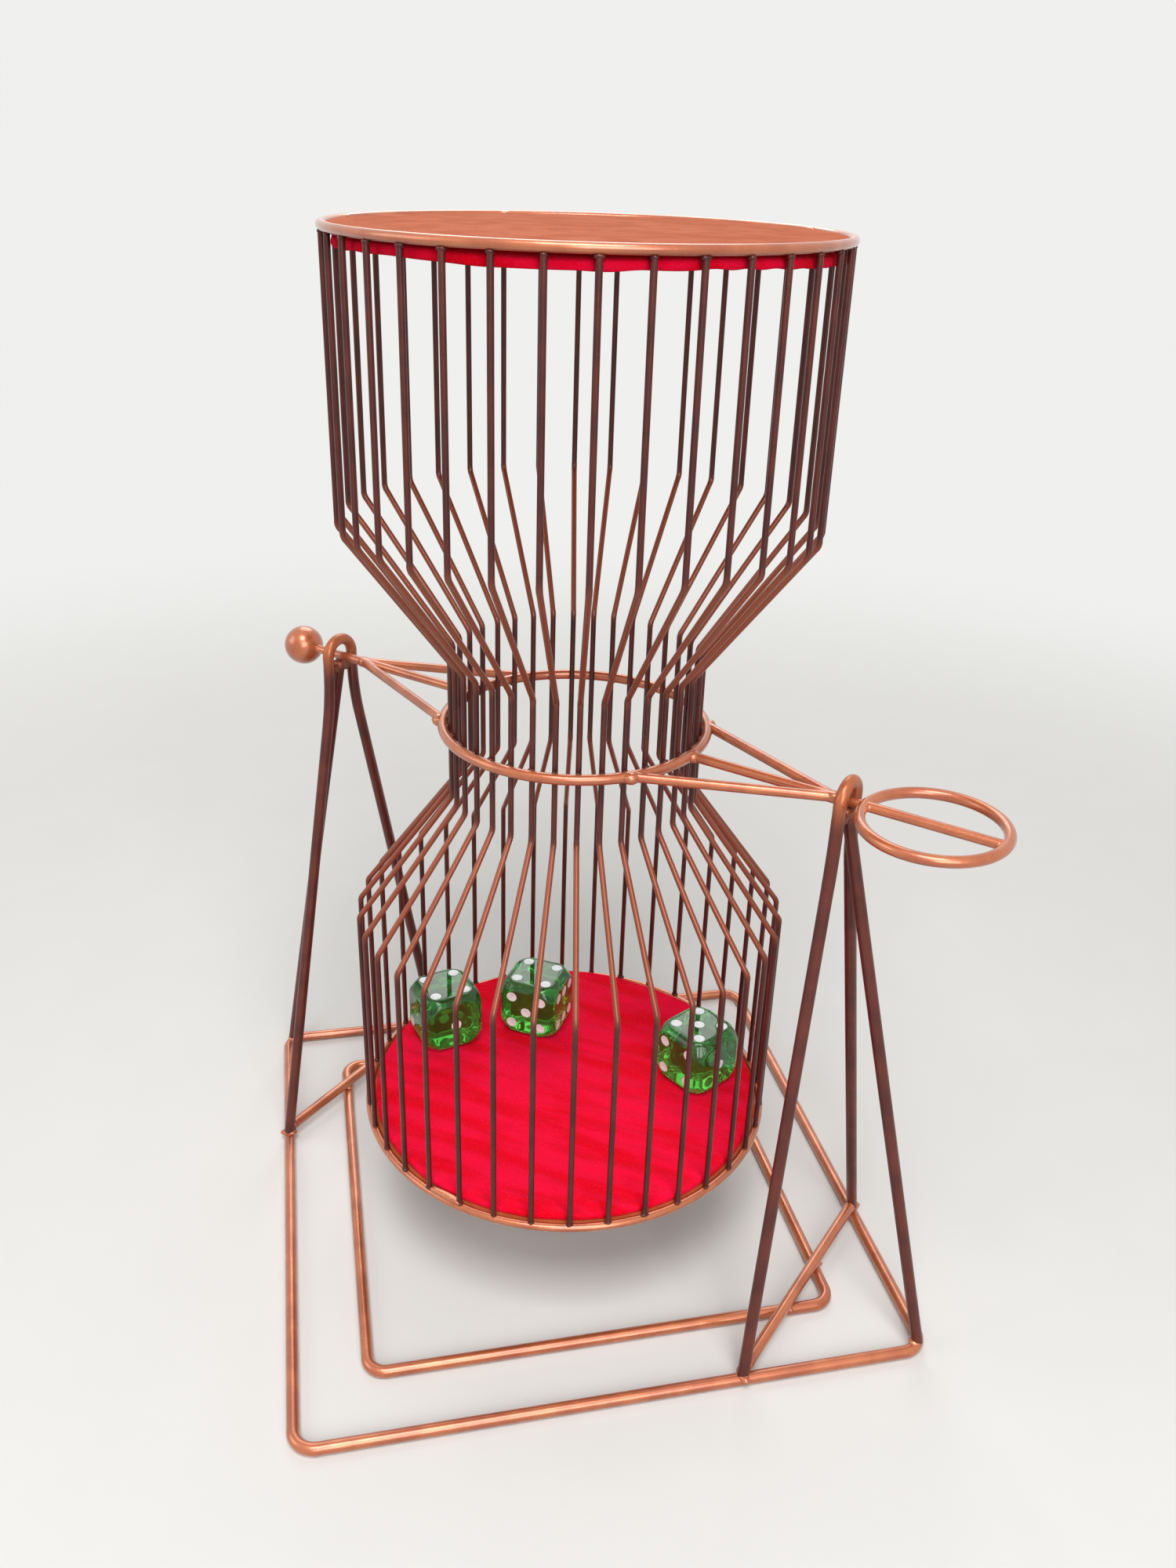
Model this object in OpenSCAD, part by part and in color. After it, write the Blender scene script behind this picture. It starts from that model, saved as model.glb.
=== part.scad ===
/* [Cage] */
// Diameter of both rim rings, between the centres of their wire
rim_d = 120; // [100:1:150]
// Wire diameter of the rim rings
rim_wire_d = 2.2; // [1.6:0.1:3]
// Height of the cage between the centres of its two rim rings
cage_h = 245; // [210:1:270]
// Number of upright wires
wire_count = 36; // [24:1:36]
// Diameter of the upright wires
wire_d = 1.5; // [1:0.1:2]
// Height between the lower and upper shoulders of the upright wires
shoulder_h = 111; // [90:1:130]
// Height of the straight waist of the upright wires
waist_h = 39; // [20:1:60]
// Bend radius of the upright wires
wire_bend_r = 3; // [2:0.5:5]
// Diameter of the waist ring, between the centres of its wire
waist_ring_d = 71; // [60:1:84]
// Wire diameter of the waist ring
waist_wire_d = 2.8; // [2:0.1:3.5]

/* [End plates and felt] */
// Thickness of the end plates
plate_t = 1; // [0.6:0.1:2]
// Gap between the edge of an end plate and its rim ring
plate_gap = 0.1; // [0.05:0.05:0.5]
// Thickness of the felt pads
felt_t = 2.2; // [1:0.1:3]
// Gap between the edge of a felt pad and the upright wires
felt_gap = 0.85; // [0.4:0.05:2]

/* [Axle] */
// Height of the axle above the table
axle_h = 160; // [150:1:190]
// Diameter of the axle wires
axle_d = 2.6; // [2:0.1:3.4]
// Diameter of the side struts
strut_d = 2.6; // [2:0.1:3.4]
// Angle on the waist ring between the axle and each side strut
strut_angle = 34; // [25:1:45]
// Gap for the weld between a side strut and the axle
strut_gap = 0.05; // [0.05:0.05:0.3]
// End play between the side struts and the eye on the handle side
end_play = 0.35; // [0.2:0.05:1]

/* [Knob and handle] */
// Distance from the middle of the cage to the middle of the ball knob
ball_x = 99.5; // [96:0.1:110]
// Diameter of the ball knob
ball_d = 11.6; // [9:0.1:14]
// Depth of the hole in the ball knob
ball_hole = 8; // [5:0.5:8.5]
// Diameter of the handle ring, between the centres of its wire
handle_d = 34.4; // [28:0.1:44]
// Wire diameter of the handle ring
handle_wire_d = 2.9; // [2.2:0.1:3.6]
// Diameter of the bar across the handle ring
bar_d = 2.6; // [2:0.1:3.4]
// Gap between the handle ring and the eye beside it
ring_gap = 1.2; // [0.4:0.1:2]

/* [Stand] */
// Side of the outer base frame, between the centres of its wire
base_side = 172; // [164:1:190]
// Side of the inner base frame, between the centres of its wire
inner_side = 132; // [124:1:140]
// Wire diameter of both base frames
base_wire_d = 3.4; // [2.6:0.1:4.2]
// Bend radius of the outer base frame's corners
base_bend_r = 6; // [4:0.5:10]
// Bend radius of the inner base frame's corners
inner_bend_r = 5; // [4:0.5:8]
// Distance from the middle of the stand to each brace
brace_x = 84; // [82:0.5:86]
// Diameter of the braces
brace_d = 3.2; // [2.6:0.1:4]
// Wire diameter of the bails and the corner legs
leg_d = 3.2; // [2.6:0.1:3.6]
// Distance from the middle of the stand to the eye on the ball side
ball_eye_x = 84.8; // [82:0.1:87]
// Distance from the middle of the stand to the eye on the handle side
handle_eye_x = 78.8; // [77:0.1:81]
// Diameter of an eye, between the centres of its wire
eye_d = 10; // [9:0.1:12]
// Clearance between the axle and the end of the corner leg below it
seat_clear = 0.4; // [0.2:0.05:0.8]
// Straight stretch of a bail's legs just below the eye
leg_straight = 3; // [1:0.5:8]
// Bend radius of a bail's legs below that stretch
leg_bend_r = 80; // [40:5:120]
// Gap for the weld between a wire's end and the wire beside it
weld_gap = 0.2; // [0.1:0.05:0.4]

/* [Dice] */
// Edge of the dice
die_edge = 19; // [16:0.5:20]
// Rounding radius of the dice's edges
die_round = 2.8; // [1.5:0.1:3]
// Diameter of the ball that rounds off the dice's corners
die_ball_d = 26.5; // [25.5:0.5:28]
// Diameter of a pip on the face
pip_d = 3.4; // [2.4:0.1:3.6]
// Depth of a pip
pip_depth = 0.5; // [0.3:0.1:0.8]
// Distance of the outer pips from the middle lines of a face
pip_spread = 4.9; // [4:0.1:5]
// Left die: gap between its corners and the edge of the felt
left_die_gap = 0.8; // [0:0.1:6]
// Left die: direction from the middle of the felt
left_die_angle = 185; // [170:1:190]
// Left die: turn on the felt
left_die_turn = -30; // [-45:1:45]
// Back die: gap between its corners and those of the left die
back_die_gap = 3.2; // [0.5:0.1:8]
// Back die: direction from the left die
back_die_angle = 48; // [35:1:55]
// Back die: turn on the felt
back_die_turn = 13; // [-45:1:45]
// Right die: gap between its corners and the edge of the felt
right_die_gap = 4.3; // [0:0.1:10]
// Right die: direction from the middle of the felt
right_die_angle = 37; // [20:1:45]
// Right die: turn on the felt
right_die_turn = -16; // [-45:1:45]

/* [Bends] */
// Length by which a straight run of wire reaches into each bend
bend_lap = 0.2; // [0.1:0.05:0.25]
// Extra diameter of the wire at its bends
bend_swell = 0.06; // [0.03:0.01:0.1]

/* [Hidden] */
$fn = 48;
copper = "#b0643f";
dark_copper = "#8a4d3a";
felt_red = "#d81230";
die_green = "#2f9a4a";
rim_r = rim_d / 2;
waist_ring_r = waist_ring_d / 2;
handle_r = handle_d / 2;
cage_top = cage_h / 2;

// Upright wire: radius at the waist, against the inside of the waist ring
wire_waist_r = waist_ring_r - waist_wire_d / 2 - wire_d / 2;
wire_top = cage_top - rim_wire_d / 2;
wire_half = [[wire_waist_r, waist_h / 2], [rim_r, shoulder_h / 2], [rim_r, wire_top]];
wire_path = concat([for (i = [2 : -1 : 0]) [wire_half[i][0], -wire_half[i][1]]], wire_half);
wire_pitch = 360 / wire_count;

// Eye: a half turn of the bail over the axle, closed below by the end of the corner leg
eye_r = eye_d / 2;
eye_w = leg_d + bend_swell;

// Axle: the struts meet it just inside the handle's eye, and the handle ring starts just outside
hub_x = handle_eye_x - eye_w / 2 - end_play - strut_d / 2;
handle_x = handle_eye_x + eye_w / 2 + ring_gap + handle_wire_d / 2 + handle_r;
ball_axle_end = ball_x - ball_d / 2 + ball_hole;

// Stand: the base frames stand on a corner of the square at each axle end
base_corner = base_side / sqrt(2);
corner_arc_x = base_corner - base_bend_r * (sqrt(2) - 1);
foot_y = base_corner - brace_x;
brace_z = base_wire_d + brace_d / 2;
leg_drop = axle_h - leg_straight - base_wire_d;
leg_lean = lean_to(foot_y - eye_r, leg_drop);
brace_half = foot_y - brace_d * tan(leg_lean) - leg_d / 2 / cos(leg_lean) - weld_gap;

// Felt and dice: the height at which the dice lie, measured from the axle, and where they lie
felt_r = rim_r - wire_d / 2 - felt_gap;
felt_face = cage_top - plate_t / 2 - felt_t;
die_reach = die_edge / sqrt(2);
left_die_at = (felt_r - die_reach - left_die_gap) * heading(left_die_angle);
back_die_at = left_die_at + (2 * die_reach + back_die_gap) * heading(back_die_angle);
right_die_at = (felt_r - die_reach - right_die_gap) * heading(right_die_angle);
pip_ball_r = (pip_d * pip_d / 4 + pip_depth * pip_depth) / (2 * pip_depth);

wire_names = [for (i = [1 : wire_count]) str("cage_wire_", i < 10 ? "0" : "", i)];

// Flat direction at an angle
function heading(angle) = [cos(angle), sin(angle)];
// Direction of a run of wire, and the angle by which it turns at a bend
function along(a, b) = (b - a) / norm(b - a);
function bend_angle(a, b, c) = atan2(cross(along(a, b), along(b, c)), along(a, b) * along(b, c));
// Lean at which a bail's leg leaves its bend to reach a foot that far out and down
function lean_to(out, down) =
  acos(-leg_bend_r / norm([out - leg_bend_r, down])) - atan2(down, out - leg_bend_r);
// Length that a bend takes from each of its two runs
function setback(a, b, c, r) = r * tan(abs(bend_angle(a, b, c)) / 2);

// Straight wire from point a to point b
module run(a, b, d) {
  v = b - a;
  translate(a) rotate([0, acos(v[2] / norm(v)), atan2(v[1], v[0])]) cylinder(d = d, h = norm(v));
}

// Bend of a wire in the XY plane, from the X axis through the given angle
module bend(r, angle, d) {
  rotate_extrude(angle = angle) translate([r, 0]) circle(d = d + bend_swell);
}

// Ring of wire round the Z axis
module ring(r, d) {
  rotate_extrude() translate([r, 0]) circle(d = d);
}

// Wire along flat points [x, z], with round bends at the inner points
module bent_wire(p, d, r) {
  last = len(p) - 1;
  for (i = [0 : last - 1]) {
    from = i == 0 ? 0 : setback(p[i - 1], p[i], p[i + 1], r) - bend_lap;
    to = i == last - 1 ? 0 : setback(p[i], p[i + 1], p[i + 2], r) - bend_lap;
    a = p[i] + from * along(p[i], p[i + 1]);
    b = p[i + 1] - to * along(p[i], p[i + 1]);
    run([a[0], 0, a[1]], [b[0], 0, b[1]], d);
  }
  for (i = [1 : last - 1]) {
    angle = bend_angle(p[i - 1], p[i], p[i + 1]);
    u = along(p[i - 1], p[i]);
    start = p[i] - setback(p[i - 1], p[i], p[i + 1], r) * u;
    spoke = sign(angle) * r * [u[1], -u[0]];
    centre = start - spoke;
    rotate([90, 0, 0]) translate([centre[0], centre[1], 0])
      rotate([0, 0, atan2(spoke[1], spoke[0])]) bend(r, angle, d);
  }
}

// Square of wire with round corners, lying on the table with its corners on the axes
module base_frame(side, r) {
  half = side / 2;
  for (k = [0 : 3])
    rotate([0, 0, 45 + 90 * k]) translate([0, 0, base_wire_d / 2]) {
      run([half, r - half - bend_lap, 0], [half, half - r + bend_lap, 0], base_wire_d);
      translate([half - r, half - r, 0]) bend(r, 90, base_wire_d);
    }
}

module base_outer_frame() {
  color(copper) base_frame(base_side, base_bend_r);
}

module base_inner_frame() {
  color(copper) base_frame(inner_side, inner_bend_r);
}

module brace() {
  run([brace_x, -brace_half, brace_z], [brace_x, brace_half, brace_z], brace_d);
}

module handle_side_brace() {
  color(copper) brace();
}

module ball_side_brace() {
  color(copper) rotate([0, 0, 180]) brace();
}

// Space that the feet of the legs are cut to, up to the top of the base frames
module foot_cut() {
  translate([0, 0, base_wire_d - 2 * leg_d]) cylinder(r = base_side, h = 2 * leg_d);
}

// Leg of a bail, from the end of its half turn to its foot on the base frame
module bail_leg(eye_x, side) {
  top = [eye_x, side * eye_r, axle_h - leg_straight];
  foot = [brace_x, side * foot_y, base_wire_d];
  out = [foot[0] - top[0], foot[1] - top[1]];
  turn = atan2(out[1], out[0]);
  lean = lean_to(norm(out), leg_drop);
  dir = [sin(lean) * cos(turn), sin(lean) * sin(turn), -cos(lean)];
  low_run = (leg_drop - leg_bend_r * sin(lean)) / cos(lean);
  run(top - [0, 0, bend_lap], top + [0, 0, leg_straight + bend_lap], leg_d);
  translate(top) rotate([0, 0, turn]) translate([leg_bend_r, 0, 0])
    rotate([90, 0, 0]) rotate([0, 0, 180]) bend(leg_bend_r, lean, leg_d);
  difference() {
    run(foot - (low_run + bend_lap) * dir, foot + leg_d * dir, leg_d);
    foot_cut();
  }
}

module bail(eye_x) {
  translate([eye_x, 0, axle_h]) rotate([90, 0, 90]) bend(eye_r, 180, leg_d);
  for (side = [-1, 1]) bail_leg(eye_x, side);
}

module handle_side_bail() {
  color(copper) bail(handle_eye_x);
}

module ball_side_bail() {
  color(copper) rotate([0, 0, 180]) bail(ball_eye_x);
}

// Corner leg, from the outer frame's corner up into the eye, where its end lies under the axle
module corner_leg(eye_x) {
  top = [eye_x, 0, axle_h - axle_d / 2 - seat_clear];
  foot = [corner_arc_x, 0, base_wire_d];
  dir = along(top, foot);
  difference() {
    run(top - leg_d * dir, foot + leg_d * dir, leg_d);
    translate([0, 0, top[2]]) cylinder(r = base_side, h = 2 * leg_d);
    foot_cut();
  }
}

module handle_side_corner_leg() {
  color(copper) corner_leg(handle_eye_x);
}

module ball_side_corner_leg() {
  color(copper) rotate([0, 0, 180]) corner_leg(ball_eye_x);
}

module top_rim_ring() {
  color(copper) translate([0, 0, axle_h + cage_top]) ring(rim_r, rim_wire_d);
}

module bottom_rim_ring() {
  color(copper) translate([0, 0, axle_h - cage_top]) ring(rim_r, rim_wire_d);
}

module waist_ring() {
  color(copper) translate([0, 0, axle_h]) ring(waist_ring_r, waist_wire_d);
}

module end_plate() {
  translate([0, 0, cage_top]) cylinder(r = rim_r - rim_wire_d / 2 - plate_gap, h = plate_t, center = true);
}

module top_end_plate() {
  color(copper) translate([0, 0, axle_h]) end_plate();
}

module bottom_end_plate() {
  color(copper) translate([0, 0, axle_h]) mirror([0, 0, 1]) end_plate();
}

module felt() {
  translate([0, 0, felt_face]) cylinder(r = felt_r, h = felt_t);
}

module top_felt() {
  color(felt_red) translate([0, 0, axle_h]) felt();
}

module bottom_felt() {
  color(felt_red) translate([0, 0, axle_h]) mirror([0, 0, 1]) felt();
}

// Axle wire whose end is shaped to the outside of the waist ring
module axle_wire(end_x) {
  difference() {
    run([waist_ring_r, 0, 0], [end_x, 0, 0], axle_d);
    ring(waist_ring_r, waist_wire_d);
  }
}

module ball_side_axle() {
  color(copper) translate([0, 0, axle_h]) rotate([0, 0, 180]) axle_wire(ball_axle_end);
}

// The handle's axle wire stops at the handle ring, and a bar goes on across it
module handle_side_axle() {
  color(copper) translate([0, 0, axle_h]) difference() {
    union() {
      axle_wire(handle_x - handle_r);
      run([handle_x - handle_r, 0, 0], [handle_x + handle_r, 0, 0], bar_d);
    }
    translate([handle_x, 0, 0]) ring(handle_r, handle_wire_d);
  }
}

// Two side struts, shaped to the waist ring and to the axle
module struts() {
  for (side = [-1, 1])
    difference() {
      run(waist_ring_r * [cos(strut_angle), side * sin(strut_angle), 0], [hub_x, 0, 0], strut_d);
      ring(waist_ring_r, waist_wire_d);
      run([0, 0, 0], [hub_x + strut_d, 0, 0], axle_d + 2 * strut_gap);
    }
}

module handle_side_struts() {
  color(copper) translate([0, 0, axle_h]) struts();
}

module ball_side_struts() {
  color(copper) translate([0, 0, axle_h]) rotate([0, 0, 180]) struts();
}

module ball_knob() {
  color(copper) translate([-ball_x, 0, axle_h]) difference() {
    sphere(d = ball_d);
    run([ball_x - ball_axle_end, 0, 0], [ball_d, 0, 0], axle_d);
  }
}

module handle_ring() {
  color(copper) translate([handle_x, 0, axle_h]) ring(handle_r, handle_wire_d);
}

// Places of the pips on a face, for each number
function pips(n) = concat(
  n % 2 == 1 ? [[0, 0]] : [],
  n > 1 ? [[1, 1], [-1, -1]] : [],
  n > 3 ? [[1, -1], [-1, 1]] : [],
  n == 6 ? [[1, 0], [-1, 0]] : []
);

// Square outline of a die with round corners
module die_outline() {
  flat = die_edge - 2 * die_round;
  square([die_edge, flat], center = true);
  square([flat, die_edge], center = true);
  for (x = [-1, 1], y = [-1, 1])
    translate([x, y] * flat / 2) circle(die_round);
}

// Pips of one face, cut into the top of a die
module face_pips(n) {
  for (p = pips(n))
    translate([p[0] * pip_spread, p[1] * pip_spread, die_edge / 2 - pip_depth + pip_ball_r])
      sphere(pip_ball_r);
}

// Die with the given numbers on its top, front and right faces
module die(top, front, right) {
  difference() {
    intersection() {
      sphere(d = die_ball_d);
      linear_extrude(die_edge, center = true) die_outline();
      rotate([90, 0, 0]) linear_extrude(die_edge, center = true) die_outline();
      rotate([0, 90, 0]) linear_extrude(die_edge, center = true) die_outline();
    }
    face_pips(top);
    rotate([180, 0, 0]) face_pips(7 - top);
    rotate([90, 0, 0]) face_pips(front);
    rotate([-90, 0, 0]) face_pips(7 - front);
    rotate([0, 90, 0]) face_pips(right);
    rotate([0, -90, 0]) face_pips(7 - right);
  }
}

module place_die(at, turn) {
  color(die_green) translate([at[0], at[1], axle_h - felt_face + die_edge / 2])
    rotate([0, 0, turn]) children();
}

module left_die() {
  place_die(left_die_at, left_die_turn) die(4, 2, 1);
}

module back_die() {
  place_die(back_die_at, back_die_turn) die(4, 5, 6);
}

module right_die() {
  place_die(right_die_at, right_die_turn) die(5, 4, 1);
}

// Upright wire of the cage, half a pitch off the axle
module cage_wire(i) {
  color(dark_copper) translate([0, 0, axle_h]) rotate([0, 0, (i - 0.5) * wire_pitch])
    bent_wire(wire_path, wire_d, wire_bend_r);
}

base_outer_frame();
base_inner_frame();
ball_side_brace();
handle_side_brace();
ball_side_bail();
handle_side_bail();
ball_side_corner_leg();
handle_side_corner_leg();
top_rim_ring();
bottom_rim_ring();
waist_ring();
top_end_plate();
bottom_end_plate();
top_felt();
bottom_felt();
ball_side_axle();
handle_side_axle();
ball_side_struts();
handle_side_struts();
ball_knob();
handle_ring();
left_die();
back_die();
right_die();
for (i = [1 : wire_count]) cage_wire(i);
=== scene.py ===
import math
import bpy
import numpy as np
from mathutils import Matrix, Vector


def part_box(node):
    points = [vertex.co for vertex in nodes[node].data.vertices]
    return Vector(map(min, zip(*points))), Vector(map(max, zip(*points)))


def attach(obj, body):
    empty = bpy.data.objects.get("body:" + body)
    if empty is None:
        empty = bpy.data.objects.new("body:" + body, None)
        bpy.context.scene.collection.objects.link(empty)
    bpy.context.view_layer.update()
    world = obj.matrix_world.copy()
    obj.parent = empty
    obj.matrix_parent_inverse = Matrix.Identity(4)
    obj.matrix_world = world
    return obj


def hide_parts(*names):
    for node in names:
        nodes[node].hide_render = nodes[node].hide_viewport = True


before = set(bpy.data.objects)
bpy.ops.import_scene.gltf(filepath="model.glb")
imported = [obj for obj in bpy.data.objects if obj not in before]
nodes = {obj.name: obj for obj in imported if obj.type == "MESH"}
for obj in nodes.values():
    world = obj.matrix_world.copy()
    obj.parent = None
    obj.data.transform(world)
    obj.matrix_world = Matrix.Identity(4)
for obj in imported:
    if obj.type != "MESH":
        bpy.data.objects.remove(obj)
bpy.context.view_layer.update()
scene = bpy.context.scene
mm = 0.001


def nodeBox(name):
    # lowest and highest corner of a CAD node, from metres to mm, rounded to the nearest micrometre
    return np.round(np.array(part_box(name)) / mm, 3)


axleHeight = float(nodeBox("ball_side_axle")[:, 2].mean())  # mm above the table


# shader maths: a socket with operators that add Math nodes, and a finish that makes all other nodes

class Sock:
    def __init__(self, finish, socket):
        self.finish, self.socket = finish, socket

    def math(self, operation, first, second):
        return self.finish.node("ShaderNodeMath", {"operation": operation}, {0: first, 1: second})

    def __add__(self, other):
        return self.math("ADD", self, other)

    def __radd__(self, other):
        return self.math("ADD", other, self)

    def __sub__(self, other):
        return self.math("SUBTRACT", self, other)

    def __rsub__(self, other):
        return self.math("SUBTRACT", other, self)

    def __mul__(self, other):
        return self.math("MULTIPLY", self, other)

    def __rmul__(self, other):
        return self.math("MULTIPLY", other, self)


class Finish:
    def __init__(self, owner, constants=None):
        self.owner = owner
        owner.use_nodes = True
        self.tree = owner.node_tree
        self.tree.nodes.clear()
        if constants is not None:
            self.place = self.node("ShaderNodeTexCoord", out="Object")
            self.shader = self.node("ShaderNodeBsdfPrincipled", values=constants)
            self.output = self.node("ShaderNodeOutputMaterial", values={"Surface": self.shader},
                                    out=None)

    def node(self, kind, settings=None, values=None, out=0):  # settings first, then the sockets
        made = self.tree.nodes.new(kind)
        for key, value in (settings or {}).items():
            setattr(made, key, value)
        for key, value in (values or {}).items():
            self.feed(made.inputs[key], value)
        return made if out is None else Sock(self, made.outputs[out])

    def feed(self, socket, value):  # a link, or a value that is the same all over
        if isinstance(value, Sock):
            self.tree.links.new(value.socket, socket)
        else:
            socket.default_value = value

    def surface(self, values):  # what varies goes into the shader
        for key, value in values.items():
            self.feed(self.shader.socket.node.inputs[key], value)
        return self.owner

    def noise(self, size, detail, where=None):  # size of a patch in mm
        return self.node("ShaderNodeTexNoise", {"noise_dimensions": "3D"},
                         {"Vector": where or self.place, "Scale": 1 / (size * mm), "Detail": detail})

    def band(self, value, low, high):  # 0 below low, 1 above high, smooth between
        return self.node("ShaderNodeMapRange", {"interpolation_type": "SMOOTHSTEP"},
                         {"Value": value, "From Min": low, "From Max": high})

    def blend(self, factor, first, second):  # first colour where the factor is 0, second where it is 1
        return self.node("ShaderNodeMix", {"data_type": "RGBA"},
                         {0: factor, 6: first, 7: second}, out=2)

    def relief(self, height, depth):  # depth in mm
        return self.node("ShaderNodeBump", values={"Height": height, "Distance": depth * mm,
                                                   "Strength": 1.0})


def newFinish(name, constants):
    # a material whose shader has these constants set on its own sockets
    return Finish(bpy.data.materials.new(name), constants)


def shade(red, green, blue):
    # screen colour from 0 to 255 as linear light, by the usual sRGB curve
    part = np.array([red, green, blue]) / 255
    light = np.where(part <= 0.04045, part / 12.92, ((part + 0.055) / 1.055) ** 2.4)
    return (*light.tolist(), 1.0)


# surfaces: a grid of points becomes one welded mesh

def gridFaces(rows, cols, roundCols=False):
    # quads between neighbouring rows and columns, with the last column joined to the first if round
    lastCol = cols if roundCols else cols - 1
    row, col = np.meshgrid(np.arange(rows - 1), np.arange(lastCol), indexing="ij")
    here, beside = row * cols + col, row * cols + (col + 1) % cols
    return np.stack([here, beside, beside + cols, here + cols], -1).reshape(-1, 4)


def copies(points, faces):
    # one set of points and faces for a stack of equal grids, each numbered on from the one before
    count = points[0].size // 3
    steps = np.arange(len(points))[:, None, None] * count
    return points.reshape(-1, 3), (faces[None] + steps).reshape(-1, 4)


weldDigits = 4  # decimals of a mm to which two points have to agree to be one


def makePiece(name, points, faces, body, material, slot=None):
    # points in mm; equal points are welded, and a quad with two equal corners becomes a triangle
    spots, index = np.unique(np.round(points.reshape(-1, 3), weldDigits), axis=0, return_inverse=True)
    quads = index.reshape(-1)[faces]
    same = quads == np.roll(quads, -1, axis=1)
    whole = quads[~same.any(axis=1)]
    pinched = same.sum(axis=1) == 1
    order = (same[pinched].argmax(axis=1)[:, None] + np.arange(1, 4)) % 4
    thirds = np.take_along_axis(quads[pinched], order, axis=1)
    mesh = bpy.data.meshes.new(name)
    mesh.from_pydata((spots * mm).tolist(), [], whole.tolist() + thirds.tolist())
    mesh.polygons.foreach_set("use_smooth", np.ones(len(mesh.polygons), bool))
    mesh.materials.append(material)
    mesh.update()
    piece = bpy.data.objects.new(name, mesh)
    scene.collection.objects.link(piece)
    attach(piece, body)
    return piece


# copper paint on every wire, ring and plate

copperLook = {
    "copper": shade(200, 114, 70),
    "brown": shade(174, 90, 54),
    "flake": shade(246, 190, 142),
    "metallic": 0.45,
    "ior": 1.5,
    "gloss": 0.5,
    "coat": 0.9,
    "coatRough": 0.14,
    "rough": 0.34,
    "roughSwing": 0.06,  # how far clouds and peel change it
    "cloudSize": 9.0,  # mm
    "cloudEdge": (0.32, 0.68),  # noise at which the brown ends and the copper is full
    "flakeSize": 0.15,
    "flakeEdge": (0.56, 0.78),
    "flakeShare": 0.15,
    "peelSize": 0.8,
    "peelDepth": 0.03,
}
# the cage wires: copper darkened partly as their own browner paint and partly as painted shade, for
# upright wires that light from above only grazes
wireLook = {
    **copperLook,
    "copper": shade(96, 42, 35),
    "brown": shade(73, 32, 29),
    "flake": shade(170, 100, 76),
    "metallic": 0.3,
    "gloss": 0.35,
    "coat": 0.15,
    "paintedLight": [(-55.5, -19.5), (19.5, 55.5)],  # mm from the axle: the slanted stretches, painted lighter as painted light where they turn towards light from above
    "paintedLightSoft": 3.0,
    "paintedLightShare": 0.55,
    "paintedLightColour": shade(178, 96, 64),
}
# the stand's legs: darker still, partly own paint and partly painted shade as on the wires
legLook = {
    **wireLook,
    "copper": shade(108, 50, 40),
    "brown": shade(85, 40, 35),
    "paintedLight": [(-2.0, 20.0)],  # the eyes, where painted light on the arches brings back the frame's copper
    "paintedLightSoft": 5.0,
    "paintedLightShare": 0.75,
    "paintedLightColour": copperLook["copper"],
}
plateLook = {
    **copperLook,
    "copper": shade(186, 96, 60),
    "brown": shade(172, 84, 49),
    "metallic": 0.0,
    "gloss": 0.06,
    "coat": 0.0,
    "rough": 0.7,
    "cloudSize": 7.0,
    "peelSize": 1.6,
}


def paintLightBands(paint, base, look):
    # between two heights from the axle the colour turns to a lighter one as painted light, softly at
    # both ends
    height = paint.node("ShaderNodeSeparateXYZ", values={"Vector": paint.place}, out="Z")
    height = height - axleHeight * mm
    soft = look["paintedLightSoft"] * mm
    for low, high in look["paintedLight"]:
        above = paint.band(height, low * mm - soft, low * mm + soft)
        below = 1 - paint.band(height, high * mm - soft, high * mm + soft)
        base = paint.blend(above * below * look["paintedLightShare"], base, look["paintedLightColour"])
    return base


def copperPaint(name, look):
    # cloudy mix of two coppers with fine bright flakes, and a slight orange peel
    paint = newFinish(name, {"Metallic": look["metallic"], "IOR": look["ior"],
                             "Specular IOR Level": look["gloss"],
                             "Coat Weight": look["coat"], "Coat Roughness": look["coatRough"]})
    cloud = paint.band(paint.noise(look["cloudSize"], detail=4.0), *look["cloudEdge"])
    flake = paint.band(paint.noise(look["flakeSize"], detail=1.0), *look["flakeEdge"])
    peel = paint.noise(look["peelSize"], detail=2.0)
    base = paint.blend(cloud, look["brown"], look["copper"])
    # bands of painted light: lighter copper between the heights that the look gives
    if "paintedLight" in look:
        base = paintLightBands(paint, base, look)
    swing = look["roughSwing"]
    return paint.surface({
        "Base Color": paint.blend(flake * look["flakeShare"], base, look["flake"]),
        "Roughness": look["rough"] + cloud * -swing + peel * swing,
        "Normal": paint.relief(peel, look["peelDepth"]),
    })


framePaint = copperPaint("frame_copper_paint", copperLook)
wirePaint = copperPaint("wire_copper_paint", wireLook)
legPaint = copperPaint("leg_copper_paint", legLook)
platePaint = copperPaint("plate_copper_paint", plateLook)


def paintFor(nodeName):
    # a darker copy of the copper on the cage wires and the stand's legs, partly their own browner paint
    # and partly painted shade on upright wires, matt on the plates, plain on the rest
    if nodeName.startswith("cage_wire"):
        return wirePaint
    if nodeName.endswith(("_leg", "_bail")):
        return legPaint
    return platePaint if nodeName.endswith("end_plate") else framePaint


for nodeName, node in nodes.items():
    node.data.materials.clear()
    node.data.materials.append(paintFor(nodeName))
print("paint: copper on %d nodes" % len(nodes))


# felt pads

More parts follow.
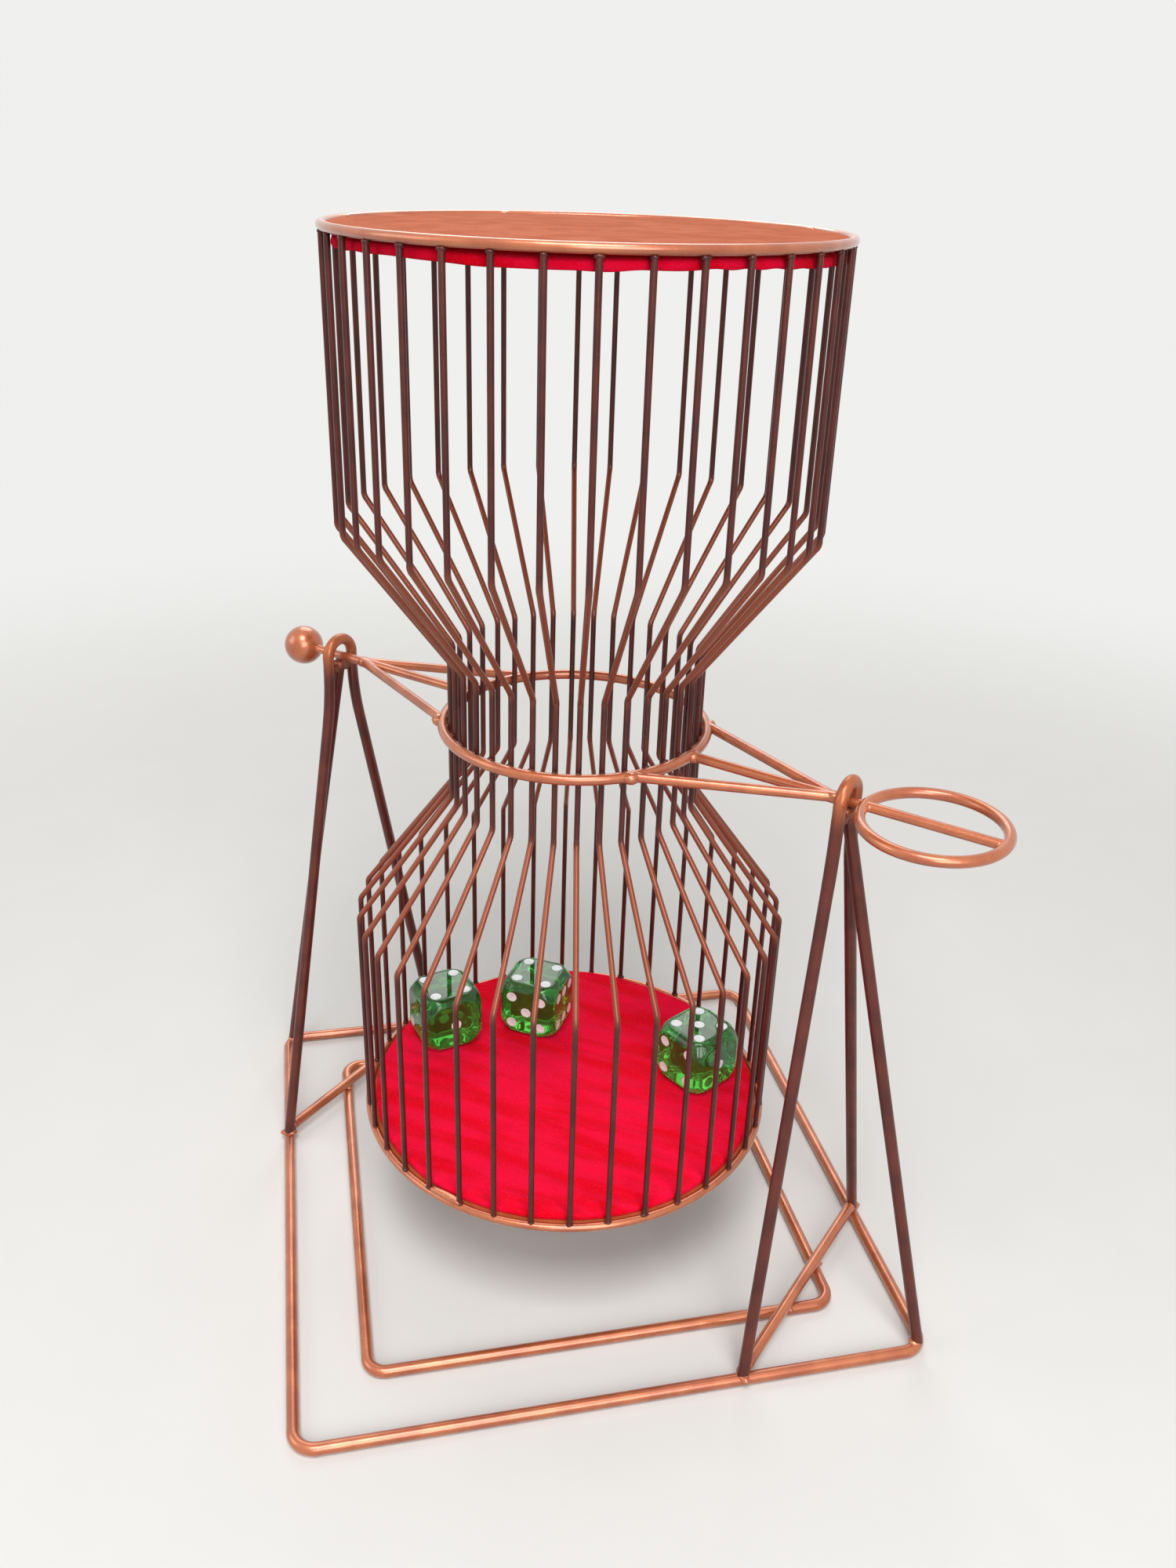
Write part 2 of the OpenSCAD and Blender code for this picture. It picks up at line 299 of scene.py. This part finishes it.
feltPad = {  # lengths in mm; the radius, thickness and height come from the CAD disc
    "ragged": 0.5,  # how far the cut wanders inwards
    "finest": 39,  # most waves round the cut
    "waveFall": 0.9,  # power by which finer waves are weaker
    "flatAt": 93.0,  # degrees, where the cut runs straight
    "flatWide": 17.0,  # degrees to each side
    "flatBy": 0.9,
    "lip": 0.55,  # rounding of the cut edge
    "lipSteps": 9,
    "under": 0.02,  # air under the pad
    "crease": 0.3,  # depth of the faint creases
    "creaseGap": 7.0,
    "creaseTurn": 10.0,  # degrees from the axle
    "sway": (1.3, 11.0),  # slow swing of a crease in radians, and its length
    "jog": (0.8, 4.7, 9.0),  # quick swing, and its lengths along and across
    "fade": (13.0, 1.7, 17.0),  # patches where creases fade: length along, swing, length across
    "faded": 0.35,  # share of the depth that is left there
    "sag": 2.0,  # how far the upper pad's rim hangs off its plate
    "sagFrom": 47.0,  # radius outside which it hangs
    "scallops": 5,  # round the rim
    "scallopBy": 0.2,  # share of the sag that the scallops take away or add
    "raggedSag": 0.15,  # share of the sag that follows the ragged cut
    "rows": 64,
    "crowding": 0.8,  # below 1 brings the rows closer together at the edge
    "underStep": 4,  # the underside has every fourth row
    "cols": 300,
}
feltLook = {
    "red": shade(255, 14, 60),
    "deep": shade(240, 2, 32),
    "fuzz": shade(255, 44, 84),
    "fuzzShare": 0.5,
    "sheen": 0.03,
    "sheenRough": 0.5,
    "ior": 1.4,
    "gloss": 0.04,
    "rough": 0.82,
    "fibreRough": 0.15,
    "streakSize": 7.0,  # mm across a streak
    "streakStretch": 4.5,  # how many times as long it is
    "streakTurn": 10.0,  # degrees from the axle
    "streakEdge": (0.36, 0.6),
    "streakRise": 0.5,  # height of a streak beside that of a fibre
    "fibreSize": 0.5,
    "fibreEdge": (0.5, 0.8),
    "napDepth": 0.25,
}


def feltFinish(look):
    # matted wool: fine fibres over long slanting streaks of two reds, with a faint sheen
    wool = newFinish("red_felt", {"Sheen Weight": look["sheen"], "Sheen Roughness": look["sheenRough"],
                                  "IOR": look["ior"], "Specular IOR Level": look["gloss"]})
    stretch = wool.node("ShaderNodeMapping", {"vector_type": "TEXTURE"},
                        {"Vector": wool.place, "Scale": (look["streakStretch"], 1.0, 1.0),
                         "Rotation": (0.0, 0.0, math.radians(look["streakTurn"]))})
    streak = wool.band(wool.noise(look["streakSize"], detail=3.0, where=stretch), *look["streakEdge"])
    fibre = wool.noise(look["fibreSize"], detail=3.0)
    fuzz = wool.band(fibre, *look["fibreEdge"])
    base = wool.blend(streak, look["deep"], look["red"])
    return wool.surface({
        "Base Color": wool.blend(fuzz * look["fuzzShare"], base, look["fuzz"]),
        "Roughness": look["rough"] + fibre * look["fibreRough"],
        "Normal": wool.relief(fibre + streak * look["streakRise"], look["napDepth"]),
    })


def creaseDepth(pad, x, y):
    # slanting sine ripples that swing to and fro along their length and fade in patches
    turn = math.radians(pad["creaseTurn"])
    along = x * math.cos(turn) + y * math.sin(turn)
    across = y * math.cos(turn) - x * math.sin(turn)
    sway, swayLong = pad["sway"]
    jog, jogAlong, jogAcross = pad["jog"]
    fadeAlong, fadeSwing, fadeAcross = pad["fade"]
    ripple = np.sin(2 * math.pi * across / pad["creaseGap"] + sway * np.sin(along / swayLong)
                    + jog * np.sin(along / jogAlong + across / jogAcross))
    patch = 0.5 + 0.5 * np.sin(along / fadeAlong + fadeSwing * np.sin(across / fadeAcross))
    return pad["crease"] * (0.5 + 0.5 * ripple) * (pad["faded"] + (1 - pad["faded"]) * patch)


def feltSurface(pad, cutRadius, thick, faceHeight, up, sag, seed):
    # disc whose profile runs from the middle of the face out, round the lip, and back underneath;
    # the cut's radius wanders with sines of falling size, and the rim hangs in scallops, by the square
    # of the distance outside the radius where the sag starts
    rng = np.random.default_rng(seed)
    angle = np.linspace(0, 2 * math.pi, pad["cols"], endpoint=False)
    waves = np.arange(2, pad["finest"] + 1)
    phase = rng.uniform(0, 2 * math.pi, len(waves))
    wander = (np.sin(np.outer(angle, waves) + phase) / waves ** pad["waveFall"]).sum(1)
    wander = (wander - wander.min()) / np.ptp(wander)
    off = (np.degrees(angle) - pad["flatAt"] + 180) % 360 - 180
    flat = pad["flatBy"] * np.exp(-(off / pad["flatWide"]) ** 2)
    edge = cutRadius - pad["ragged"] * wander - flat
    face = np.linspace(0, 1, pad["rows"]) ** pad["crowding"]
    bend = np.linspace(0, math.pi, pad["lipSteps"])[1:-1]
    back = face[::-pad["underStep"]]
    share = np.concatenate([face, np.ones(len(bend)), back])
    bulge = np.concatenate([np.zeros(len(face)), np.sin(bend), np.zeros(len(back))])
    drop = np.concatenate([np.zeros(len(face)), (1 - np.cos(bend)) / 2, np.ones(len(back))])
    radius = share[:, None] * (edge - pad["lip"]) + bulge[:, None] * pad["lip"]
    x, y = radius * np.cos(angle), radius * np.sin(angle)
    dip = creaseDepth(pad, x, y)
    depth = dip + drop[:, None] * (thick - pad["under"] - dip)
    outer = np.clip((radius - pad["sagFrom"]) / (cutRadius - pad["sagFrom"]), 0, 1) ** 2
    scallop = 1 - pad["scallopBy"] + pad["scallopBy"] * np.sin(pad["scallops"] * angle + 1)
    hang = sag * outer * (scallop + pad["raggedSag"] * wander)
    return np.stack([x, y, faceHeight - up * depth - hang], -1)


felt = feltFinish(feltLook)
for feltName, plate, up, sag, seed in (("bottom_felt", "bottom_end_plate", 1, 0.0, 4),
                                       ("top_felt", "top_end_plate", -1, feltPad["sag"], 9)):
    low, high = nodeBox(feltName)
    cutRadius, faceHeight = high[0], (high if up > 0 else low)[2]
    points = feltSurface(feltPad, cutRadius, high[2] - low[2], faceHeight, up, sag, seed)
    faces = gridFaces(*points.shape[:2], roundCols=True)[:, ::up]
    piece = makePiece(feltName + "_pad", points, faces, "cage", felt, "felt")
    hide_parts(feltName)
    across = float(2 * cutRadius * mm)
print("felt: two pads cut to %.1f mm across" % (across / mm))


# dice of clear green plastic with painted pips

dieShape = {
    "edge": 19.0,  # mm
    "round": 2.8,
    "ball": 13.25,  # radius of the ball that takes the corners off
    "soft": 0.5,  # width of the blend between ball and edges
    "spread": 4.9,  # how far the outer pips are from the middle lines
    "pip": 1.7,  # radius
    "pipDepth": 0.5,
    "fill": 0.16,  # how much deeper the dried paint lies in the middle of a pip than at its rim
    "paintRim": 0.985,  # share of the pip's radius that the paint's face has
    "paintLow": 0.012,  # how far the paint's rim lies below the die's face
    "paintGap": 0.03,  # how far the paint's back is let into the plastic
    "pipRings": 6,
    "pipSpokes": 24,
    "grid": 81,
    "halvings": 44,  # steps of the search for the surface
}
diceAtRest = {  # turn in degrees, and the numbers on top, in front and on the right
    "left_die": (-30.0, (4, 2, 1)),
    "back_die": (13.0, (4, 5, 6)),
    "right_die": (-16.0, (5, 4, 1)),
}
dieLook = {
    "green": shade(66, 166, 62),
    "deep": shade(40, 134, 50),
    "clear": 0.82,
    "ior": 1.49,
    "streakSize": 7.0,  # mm
    "streakStretch": 0.3,  # below 1 draws the streaks out upwards
    "streakEdge": (0.35, 0.65),
    "rough": 0.01,
    "rubSize": 1.2,
    "rubEdge": (0.5, 0.8),
    "rubRough": 0.03,
}
pipLook = {
    "white": shade(241, 247, 248),
    "worn": shade(222, 229, 230),
    "ior": 1.5,
    "wornSize": 0.9,  # mm
    "wornEdge": (0.4, 0.75),
    "wornDepth": 0.02,
    "rough": 0.32,
    "wornRough": 0.12,
}


def dieFinish(look):
    # clear cast plastic with faint flow streaks and polish marks
    clear = newFinish("clear_green_plastic", {"Transmission Weight": look["clear"], "IOR": look["ior"]})
    stretch = clear.node("ShaderNodeMapping", values={"Vector": clear.place,
                                                      "Scale": (1.0, 1.0, look["streakStretch"])})
    streak = clear.band(clear.noise(look["streakSize"], detail=2.0, where=stretch), *look["streakEdge"])
    rub = clear.band(clear.noise(look["rubSize"], detail=3.0), *look["rubEdge"])
    return clear.surface({
        "Base Color": clear.blend(streak, look["deep"], look["green"]),
        "Roughness": look["rough"] + rub * look["rubRough"],
    })


def pipFinish(look):
    # white enamel, a little thinner in patches
    white = newFinish("white_pip_paint", {"IOR": look["ior"]})
    worn = white.band(white.noise(look["wornSize"], detail=2.0), *look["wornEdge"])
    return white.surface({
        "Base Color": white.blend(worn, look["white"], look["worn"]),
        "Roughness": look["rough"] + worn * look["wornRough"],
        "Normal": white.relief(worn, look["wornDepth"]),
    })


def turnAbout(axis, degrees):
    # matrix of a turn about X, Y or Z
    return np.array(Matrix.Rotation(math.radians(degrees), 3, axis))


faceTurns = [turnAbout("X", 0), turnAbout("X", 180), turnAbout("X", 90), turnAbout("X", -90),
             turnAbout("Y", 90), turnAbout("Y", -90)]  # top, bottom, front, back, right, left
middle, sides = [(0, 0)], [(1, 0), (-1, 0)]
corners = [(1, 1), (-1, -1), (1, -1), (-1, 1)]
pipSpots = {1: middle, 2: corners[:2], 3: corners[:2] + middle, 4: corners,
            5: corners + middle, 6: corners + sides}


def dieFace(die, spots):
    # square grid of rays from the die's middle; each is as long as the rounded cube is that way,
    # smoothly cut off by the ball, and every pip presses a shallow bowl into the flat
    step = np.linspace(-1, 1, die["grid"])
    x, y = np.meshgrid(step, step, indexing="ij")
    ray = np.stack([x, y, np.ones_like(x)], -1)
    ray /= np.linalg.norm(ray, axis=-1, keepdims=True)
    core = die["edge"] / 2 - die["round"]
    near, far = np.zeros_like(x), np.full_like(x, die["edge"])
    for halving in range(die["halvings"]):
        half = (near + far) / 2
        beyond = np.maximum(np.abs(ray * half[..., None]) - core, 0)
        inside = np.linalg.norm(beyond, axis=-1) - die["round"] <= 0
        near, far = np.where(inside, half, near), np.where(inside, far, half)
    lead = np.clip((near - die["ball"]) / die["soft"] / 2 + 0.5, 0, 1)
    reach = near + (die["ball"] - near) * lead - die["soft"] * lead * (1 - lead)
    points = ray * reach[..., None]
    away = np.linalg.norm(points[:, :, None, :2] - np.array(spots) * die["spread"], axis=-1).min(-1)
    points[..., 2] -= die["pipDepth"] * np.maximum(1 - (away / die["pip"]) ** 2, 0)
    return points


def pipPaint(die, spots):
    # lens of paint in each bowl: a dished face on top, and the bowl's own curve just below it
    rings, spokes = die["pipRings"], die["pipSpokes"]
    share = np.linspace(0, 1, rings)
    profile = np.concatenate([share * die["paintRim"], share[::-1]]) * die["pip"]
    bowl = 1 - (profile / die["pip"]) ** 2
    depth = np.concatenate([die["fill"] * bowl[:rings] + die["paintLow"],
                            die["pipDepth"] * bowl[rings:] + die["paintGap"]])
    angle = np.linspace(0, 2 * math.pi, spokes, endpoint=False)
    height = np.repeat((die["edge"] / 2 - depth)[:, None], spokes, axis=1)
    lens = np.stack([np.outer(profile, np.cos(angle)), np.outer(profile, np.sin(angle)), height], -1)
    shift = np.pad(np.array(spots, float) * die["spread"], ((0, 0), (0, 1)))
    return lens + shift[:, None, None, :]


clearGreen, pipWhite = dieFinish(dieLook), pipFinish(pipLook)
dieFaces = gridFaces(dieShape["grid"], dieShape["grid"])[:, ::-1]
pipFaces = gridFaces(2 * dieShape["pipRings"], dieShape["pipSpokes"], roundCols=True)
for dieName, (turn, (top, front, right)) in diceAtRest.items():
    numbers = (top, 7 - top, front, 7 - front, right, 7 - right)  # opposite faces make seven
    place = nodeBox(dieName).mean(axis=0)
    spin = turnAbout("Z", turn)
    shell = np.stack([dieFace(dieShape, pipSpots[number]) @ faceTurn.T
                      for number, faceTurn in zip(numbers, faceTurns)])
    body = makePiece(dieName + "_body", *copies(shell @ spin.T + place, dieFaces), dieName,
                     clearGreen, "die")
    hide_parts(dieName)
    lenses = np.concatenate([pipPaint(dieShape, pipSpots[number]) @ faceTurn.T
                             for number, faceTurn in zip(numbers, faceTurns)])
    makePiece(dieName + "_pips", *copies(lenses @ spin.T + place, pipFaces), dieName, pipWhite)
print("dice: %d with %d pips each" % (len(diceAtRest), len(lenses)))


# weld beads where wires meet

beadShape = {
    "lumps": 0.16,  # swelling as a share of the size
    "sizes": (0.85, 1.15),  # smallest and largest bead round a ring, as a share of the size given
}


def beadCloud(places, frames, sizes, seed, rows=7, cols=10, power=1.0):
    # ellipsoids on their own axes, each swollen by two slow waves with its own phases; a power below 1
    # makes them boxier
    rng = np.random.default_rng(seed)
    polar, around = np.meshgrid(np.linspace(0, math.pi, rows),
                                np.linspace(0, 2 * math.pi, cols, endpoint=False), indexing="ij")
    ball = np.stack([np.sin(polar) * np.cos(around), np.sin(polar) * np.sin(around), np.cos(polar)], -1)
    boxy = np.sign(ball) * np.abs(ball) ** power
    one, two = rng.uniform(0, 2 * math.pi, (2, len(places), 1, 1))
    waves = (np.sin(2 * around + one) + np.sin(3 * around + two)) / 2
    swell = 1 + beadShape["lumps"] * np.sin(polar) * waves
    local = boxy * swell[..., None] * np.asarray(sizes, float).reshape(-1, 1, 1, 3)
    turned = np.einsum("nrck,nkj->nrcj", local, np.asarray(frames, float))
    points = turned + np.asarray(places, float)[:, None, None]
    return copies(points, gridFaces(rows, cols, roundCols=True))


def ringFrames(angles):
    # axes out from the middle, along the ring, and up, one set for each angle in degrees
    turn = np.radians(angles)
    none, full = np.zeros_like(turn), np.ones_like(turn)
    out = np.stack([np.cos(turn), np.sin(turn), none], -1)
    along = np.stack([-np.sin(turn), np.cos(turn), none], -1)
    return np.stack([out, along, np.stack([none, none, full], -1)], 1)


def ringSpots(radius, height, angles):
    # points on a level circle round the middle, at a height from the axle
    turn = np.radians(angles)
    x, y = radius * np.cos(turn), radius * np.sin(turn)
    return np.stack([x, y, np.full_like(turn, axleHeight + height)], -1)


wireCount = sum(nodeName.startswith("cage_wire") for nodeName in nodes)
wireAngles = (np.arange(wireCount) + 0.5) * 360 / wireCount
strutAngle = 34.0  # degrees from the axle to where a strut meets the waist ring
ringWelds = {  # mm: radius, heights from the axle, and half sizes out, along and up; angles in degrees
    "rim_welds": {"radius": 60.0, "heights": (121.15, -121.15), "size": (0.95, 1.05, 0.6),
                  "angles": wireAngles, "seed": 21, "paint": wirePaint},
    "waist_welds": {"radius": 34.35, "heights": (1.0, -1.0), "size": (0.6, 0.75, 0.5),
                    "angles": wireAngles, "seed": 22, "paint": wirePaint},
    "knuckle_welds": {"radius": 36.7, "heights": (0.0,), "size": (1.7, 2.1, 1.5),
                      "angles": (-strutAngle, 0, strutAngle, 180 - strutAngle, 180, 180 + strutAngle),
                      "seed": 23, "paint": framePaint},
    "tack_welds": {"radius": 58.9, "heights": (123.0,), "size": (1.0, 1.7, 0.5),
                   "angles": (55.5, 145.0, 200.0), "seed": 24, "paint": framePaint},
    # the end of the lower rim's wire, lying on its ring between two cage wires
    "lap_weld": {"radius": 60.0, "heights": (-120.9,), "size": (0.95, 4.3, 0.8),
                 "angles": (-89.3,), "seed": 28, "paint": framePaint,
                 "shape": {"rows": 13, "cols": 20, "power": 0.55}},
}
for weldName, weld in ringWelds.items():
    places = np.concatenate([ringSpots(weld["radius"], height, weld["angles"])
                             for height in weld["heights"]])
    frames = np.concatenate([ringFrames(weld["angles"])] * len(weld["heights"]))
    spread = np.random.default_rng(weld["seed"]).uniform(*beadShape["sizes"], (len(places), 1))
    sizes = np.array(weld["size"]) * spread
    beads = beadCloud(places, frames, sizes, weld["seed"], **weld.get("shape", {}))
    makePiece(weldName, *beads, "cage", weld["paint"], "copper_paint")

hubWeb = {  # weld metal that fills the angle between the struts and the axle, in mm
    "hub": 75.5,  # where the struts' lines meet
    "splay": 0.43,  # how far each strut stands off for every mm inwards
    "past": 0.75,  # how far the web reaches beyond the strut's line
    "x": (69.0, 69.4, 70.4, 72.0, 74.4, 75.4, 76.2, 76.9),  # from the middle of the cage
    "least": (0.0, 1.0, 1.2, 1.5, 1.75, 1.72, 1.5, 0.0),  # half width that it has at least
    "thick": (0.0, 0.5, 0.95, 1.18, 1.4, 1.44, 1.38, 0.0),  # half thickness
    "power": 0.7,  # below 1 makes the rings boxier
    "rows": 50,
    "cols": 32,
}


def webSurface(web):
    # flat oval rings along the axle, as wide as the struts stand apart, closing to a point at both ends
    x = np.interp(np.linspace(0, 1, web["rows"]), np.linspace(0, 1, len(web["x"])), web["x"])
    least, thick = np.interp(x, web["x"], web["least"]), np.interp(x, web["x"], web["thick"])
    wide = np.where(least > 0, np.maximum((web["hub"] - x) * web["splay"] + web["past"], least), 0)
    turn = np.linspace(0, 2 * math.pi, web["cols"], endpoint=False)
    sideways, upright = [np.sign(wave) * np.abs(wave) ** web["power"]
                         for wave in (np.cos(turn), np.sin(turn))]
    return np.stack([np.repeat(x[:, None], web["cols"], 1), np.outer(wide, sideways),
                     axleHeight + np.outer(thick, upright)], -1)


web = webSurface(hubWeb)
webs = np.stack([web, web * np.array([-1, -1, 1])])
webFaces = gridFaces(hubWeb["rows"], hubWeb["cols"], roundCols=True)
makePiece("hub_welds", *copies(webs, webFaces), "cage", framePaint, "copper_paint")

barWelds = {  # both ends of the bar across the handle ring, in mm
    "x": (84.73, 115.83),
    "size": (0.8, 1.7, 1.25),
    "seed": 25,
}
barPlaces = [(x, 0, axleHeight) for x in barWelds["x"]]
barBeads = beadCloud(barPlaces, [np.eye(3)] * 2, [barWelds["size"]] * 2, barWelds["seed"])
makePiece("bar_welds", *barBeads, "cage", framePaint, "copper_paint")

standWelds = {  # mm: place and half sizes on the handle side
    "foot": ((84.0, 37.6, 3.4), (1.7, 2.9, 0.95)),  # a bail's foot on the outer frame
    "brace": ((84.0, 35.2, 5.0), (1.6, 1.0, 1.6)),  # a brace's end on the bail
    "cross": ((84.0, 9.35, 3.3), (1.5, 2.3, 0.8)),  # the brace over the inner frame
    "corner": ((118.7, 0, 3.4), (2.0, 2.3, 0.9)),  # the corner leg's foot
    "frameTurn": 45.0,  # degrees from the axle to the frames' sides
    "seed": 26,
    "rows": 9,
    "cols": 14,
}


def standSpots(weld):
    # the handle side's spots left and right of the axle and in the corner, then all of them turned
    # half round for the ball side
    slant, level = turnAbout("Z", weld["frameTurn"]), np.eye(3)
    spots, frames, sizes = [], [], []
    for side in (1, -1):
        for key, axes in (("foot", slant), ("brace", level), ("cross", slant)):
            (x, y, z), size = weld[key]
            spots.append((x, side * y, z))
            frames.append(axes if side > 0 else axes.T)
            sizes.append(size)
    spots.append(weld["corner"][0])
    frames.append(level)
    sizes.append(weld["corner"][1])
    spots = np.concatenate([np.array(spots), np.array(spots) @ turnAbout("Z", 180).T])
    return spots, np.stack(frames * 2), np.array(sizes * 2)


standBeads = beadCloud(*standSpots(standWelds), standWelds["seed"], standWelds["rows"],
                       standWelds["cols"])
makePiece("stand_welds", *standBeads, "stand", framePaint, "copper_paint")

eyeWelds = {  # a blob on each corner leg's end, and a bridge to the bail's leg on both sides
    "eyes": (79.05, -85.05),  # mm from the middle
    "blob": (156.9, (2.0, 2.0, 1.6)),  # height and half sizes
    "bridge": (156.1, 2.5, (1.2, 1.6, 1.3)),  # height, distance to the side and half sizes
    "seed": 27,
    "rows": 13,
    "cols": 20,
    "power": 0.7,
}


def eyeSpots(weld):
    # three spots across each eye, all on the frame's own axes
    height, size = weld["blob"]
    low, off, slim = weld["bridge"]
    places = [[(x, 0, height), (x, off, low), (x, -off, low)] for x in weld["eyes"]]
    return np.concatenate(places), [np.eye(3)] * 6, [size, slim, slim] * 2


eyeBeads = beadCloud(*eyeSpots(eyeWelds), eyeWelds["seed"], eyeWelds["rows"], eyeWelds["cols"],
                     eyeWelds["power"])
makePiece("eye_welds", *eyeBeads, "stand", legPaint, "copper_paint")
print("welds: rim, waist, struts, handle and stand")


# floor, light and camera

studio = {
    "floor": shade(232, 231, 228),
    "floorRough": 0.9,
    "floorGloss": 0.1,
    "grainSize": 30.0,  # mm
    "grainShare": 0.06,
    "bounce": shade(150, 149, 147),  # what the floor gives back to the object
    "backdrop": shade(240, 240, 238),
    "ambient": 0.22,
    "fadeFrom": 280.0,  # mm from the middle, where the floor starts to melt into the backdrop
    "fadeTo": 760.0,
    "rings": (0.0, 0.3, 1.0, 3.0, 9.0, 30.0),  # m, radii of the floor's disc
    "spokes": 64,
    "lamps": [  # place in m, width in m, watts
        ((0.30, -0.50, 1.25), 0.6, 10.0),
        ((0.70, -0.70, 0.60), 0.6, 6.0),
        ((-0.55, 0.75, 1.0), 0.7, 4.5),
        ((-0.9, -0.8, 0.7), 0.7, 3.0),
    ],
    "aim": (0.0, 0.0, 0.14),
}


def seenRay(finish):
    # 1 for rays from the camera, also when metal has reflected them or clear plastic let them through
    path = finish.node("ShaderNodeLightPath", out=None).outputs
    camera, mirrored, through = (Sock(finish, path["Is %s Ray" % kind])
                                 for kind in ("Camera", "Glossy", "Transmission"))
    return finish.node("ShaderNodeMath", {"use_clamp": True}, {0: camera + mirrored, 1: through})


def floorFinish(look):
    # pale and faintly grained where it is seen, darker as a source of light, and glowing like the
    # backdrop far from the middle
    ground = newFinish("pale_floor", {"Roughness": look["floorRough"],
                                      "Specular IOR Level": look["floorGloss"]})
    seen = seenRay(ground)
    distance = ground.node("ShaderNodeVectorMath", {"operation": "LENGTH"}, {0: ground.place}, out=1)
    far = ground.band(distance, look["fadeFrom"] * mm, look["fadeTo"] * mm)
    grain = ground.noise(look["grainSize"], detail=3.0)
    tone = ground.blend(grain * look["grainShare"], look["floor"], look["bounce"])
    ground.surface({"Base Color": ground.blend(seen, look["bounce"], tone)})
    glow = ground.node("ShaderNodeEmission", values={"Color": look["backdrop"]})
    ground.feed(ground.output.inputs["Surface"],
                ground.node("ShaderNodeMixShader", values={0: far * seen, 1: ground.shader, 2: glow}))
    return ground.owner


def backdrop(look):
    # full strength where it is seen, and only the ambient level as light
    scene.world = bpy.data.worlds.new("studio")
    sky = Finish(scene.world)
    level = sky.node("ShaderNodeMapRange", values={"Value": seenRay(sky), "To Min": look["ambient"]})
    glow = sky.node("ShaderNodeBackground", values={"Color": look["backdrop"], "Strength": level})
    sky.node("ShaderNodeOutputWorld", values={"Surface": glow}, out=None)


def discSurface(rings, spokes):
    # level rings of points round the middle, in m
    angle = np.linspace(0, 2 * math.pi, spokes, endpoint=False)
    x, y = np.outer(rings, np.cos(angle)), np.outer(rings, np.sin(angle))
    return np.stack([x, y, np.zeros_like(x)], -1)


disc = discSurface(studio["rings"], studio["spokes"])
floorMesh = bpy.data.meshes.new("floor")
floorMesh.from_pydata(disc.reshape(-1, 3).tolist(), [],
                      gridFaces(*disc.shape[:2], roundCols=True).tolist())
floorMesh.materials.append(floorFinish(studio))
floor = bpy.data.objects.new("floor", floorMesh)
scene.collection.objects.link(floor)
backdrop(studio)

for number, (place, width, watts) in enumerate(studio["lamps"]):
    data = bpy.data.lights.new("softbox_%d" % number, "AREA")
    data.size, data.energy = width, watts
    lamp = bpy.data.objects.new(data.name, data)
    lamp.location = place
    lamp.rotation_euler = (Vector(studio["aim"]) - Vector(place)).to_track_quat("-Z", "Y").to_euler()
    scene.collection.objects.link(lamp)

shot = {
    "place": (174.56, -270.08, 299.50),  # mm
    "turn": (63.841, -1.686, 32.977),  # degrees
    "focal": 1656.0,  # in pixels
    "frameHeight": 2000.0,  # of the photo, in pixels
    "sensor": 36.0,  # mm
    "near": 0.01,  # m, nothing closer is drawn
}
lens = bpy.data.cameras.new("camera")
lens.sensor_width = shot["sensor"]
lens.lens = shot["focal"] / shot["frameHeight"] * shot["sensor"]
lens.clip_start = shot["near"]
camera = bpy.data.objects.new("camera", lens)
camera.location = Vector(shot["place"]) * mm
camera.rotation_euler = [math.radians(angle) for angle in shot["turn"]]
scene.collection.objects.link(camera)
scene.camera = camera
scene.view_settings.view_transform = "Standard"
print("studio: %d lamps" % len(studio["lamps"]))
